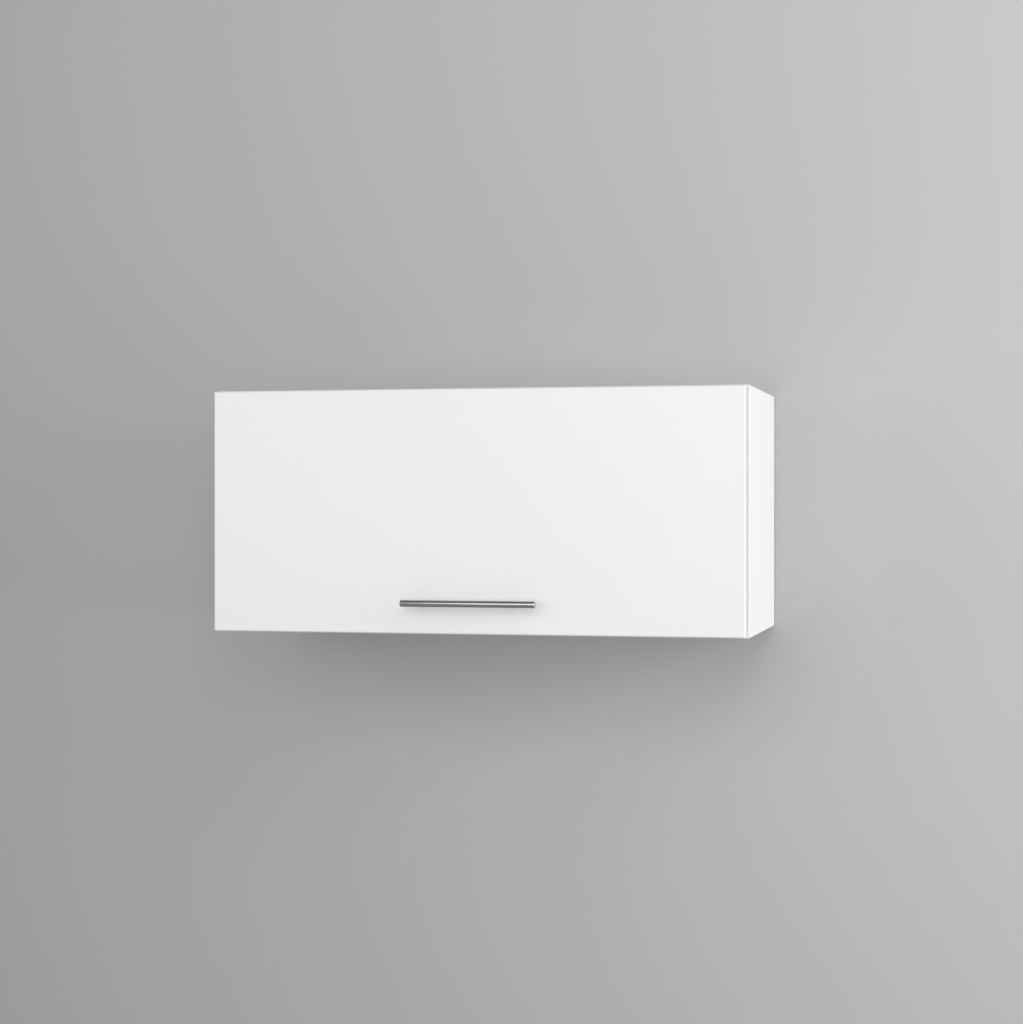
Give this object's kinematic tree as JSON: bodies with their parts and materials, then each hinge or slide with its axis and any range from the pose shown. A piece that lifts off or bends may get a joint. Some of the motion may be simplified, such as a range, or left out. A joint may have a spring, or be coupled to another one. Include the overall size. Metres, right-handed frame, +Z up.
{
  "type": "lift up wall cabinet",
  "caption": "White wall cabinet whose full front flap is hinged at the top and lifts up, held by sprung stays, with a level round bar handle.",
  "frame": {"origin": "on the wall plane, at mid width, level with the cabinet's underside", "axes": "+X along the wall to the right as seen from the room, +Y into the wall, +Z up"},
  "size_m": [0.8, 0.371, 0.36],
  "materials": {
    "white_board": "white melamine faced board, fine satin texture",
    "white_flap": "smooth white satin lacquer",
    "white_edge": "white edge band, satin",
    "back_board": "thin white fibre board",
    "beech": "fluted beech dowel",
    "handle_steel": "brushed stainless steel",
    "nickel_steel": "nickel plated pressed steel",
    "zinc_steel": "bright zinc plated",
    "zinc_cast": "die cast zinc alloy",
    "spring_steel": "oiled spring wire",
    "grey_plastic": "moulded grey plastic",
    "white_plastic": "moulded white plastic",
    "clear_pad": "soft clear bumper"
  },
  "bodies": {
    "carcass": {"side_left": "white_board", "side_right": "white_board", "top_panel": "white_board", "bottom_panel": "white_board", "back_panel": "back_board", "carcass_edge_bands": "white_edge", "wood_dowels": "beech", "cam_bolts": "zinc_steel", "cam_locks": "zinc_cast", "cam_caps": "white_plastic", "hinge_plate_screws": "zinc_steel", "hinge_arm_screws": "zinc_steel", "stay_screws": "zinc_steel", "stay_adjusters": "zinc_steel", "hanger_screws": "zinc_steel", "hanger_adjusters": "zinc_steel", "hinge_arm_left": "nickel_steel", "hinge_arm_right": "nickel_steel", "hinge_plate_left": "nickel_steel", "hinge_plate_right": "nickel_steel", "stay_housing_left": "grey_plastic", "stay_housing_right": "grey_plastic", "stay_cover_left": "white_plastic", "stay_cover_right": "white_plastic", "hanger_housing_left": "white_plastic", "hanger_housing_right": "white_plastic", "hanger_cover_left": "white_plastic", "hanger_cover_right": "white_plastic"},
    "flap": {"door_panel": "white_flap", "door_edge_bands": "white_edge", "bumper_pads": "clear_pad", "handle_bar": "handle_steel", "handle_posts": "handle_steel", "handle_screws": "zinc_steel", "hinge_cup_left": "nickel_steel", "hinge_cup_right": "nickel_steel", "hinge_pins": "zinc_steel", "hinge_cup_screws": "zinc_steel", "stay_bracket_left": "nickel_steel", "stay_bracket_right": "nickel_steel", "bracket_pins": "zinc_steel", "bracket_screws": "zinc_steel"},
    "lever_left": {"stay_lever_left": "nickel_steel", "stay_shaft_left": "zinc_steel", "stay_cam_left": "zinc_cast"},
    "link_left": {"stay_link_left": "nickel_steel", "stay_knee_pin_left": "zinc_steel"},
    "slide_left": {"stay_slide_left": "zinc_cast", "stay_springs_left": "spring_steel"},
    "hanger_left": {"hanger_hook_left": "zinc_steel", "wall_plate_left": "zinc_steel"},
    "lever_right": {"stay_lever_right": "nickel_steel", "stay_shaft_right": "zinc_steel", "stay_cam_right": "zinc_cast"},
    "link_right": {"stay_link_right": "nickel_steel", "stay_knee_pin_right": "zinc_steel"},
    "slide_right": {"stay_slide_right": "zinc_cast", "stay_springs_right": "spring_steel"},
    "hanger_right": {"hanger_hook_right": "zinc_steel", "wall_plate_right": "zinc_steel"}
  },
  "joints": [
    {"name": "flap_lift", "type": "hinge", "parent": "carcass", "child": "flap", "pos_m": [0, -0.333, 0.351], "axis": [-1, 0, 0], "range_deg": [0, 90]},
    {"name": "stay_lever_turn_left", "type": "hinge", "parent": "carcass", "child": "lever_left", "pos_m": [-0.365, -0.25, 0.29], "axis": [-1, 0, 0], "range_deg": [0, 90]},
    {"name": "stay_link_turn_left", "type": "hinge", "parent": "lever_left", "child": "link_left", "pos_m": [-0.365, -0.23, 0.195], "axis": [-1, 0, 0], "range_deg": [-90, 0]},
    {"name": "stay_slide_travel_left", "type": "slide", "parent": "carcass", "child": "slide_left", "axis": [0, -1, 0], "range_m": [0, 0.0081], "deforming": ["stay_springs_left"]},
    {"name": "hanger_level_left", "type": "slide", "parent": "carcass", "child": "hanger_left", "axis": [0, 0, 1], "range_m": [-0.006, 0.006]},
    {"name": "stay_lever_turn_right", "type": "hinge", "parent": "carcass", "child": "lever_right", "pos_m": [0.365, -0.25, 0.29], "axis": [-1, 0, 0], "range_deg": [0, 90]},
    {"name": "stay_link_turn_right", "type": "hinge", "parent": "lever_right", "child": "link_right", "pos_m": [0.365, -0.23, 0.195], "axis": [-1, 0, 0], "range_deg": [-90, 0]},
    {"name": "stay_slide_travel_right", "type": "slide", "parent": "carcass", "child": "slide_right", "axis": [0, -1, 0], "range_m": [0, 0.0081], "deforming": ["stay_springs_right"]},
    {"name": "hanger_level_right", "type": "slide", "parent": "carcass", "child": "hanger_right", "axis": [0, 0, 1], "range_m": [-0.006, 0.006]}
  ],
  "couplings": [
    {"joint": "stay_lever_turn_left", "follows": "flap_lift", "ratio": 1},
    {"joint": "stay_link_turn_left", "follows": "flap_lift", "ratio": -1},
    {"joint": "stay_slide_travel_left", "follows": "flap_lift", "m_per_rad": 0.0050929},
    {"joint": "stay_lever_turn_right", "follows": "flap_lift", "ratio": 1},
    {"joint": "stay_link_turn_right", "follows": "flap_lift", "ratio": -1},
    {"joint": "stay_slide_travel_right", "follows": "flap_lift", "m_per_rad": 0.0050929}
  ]
}
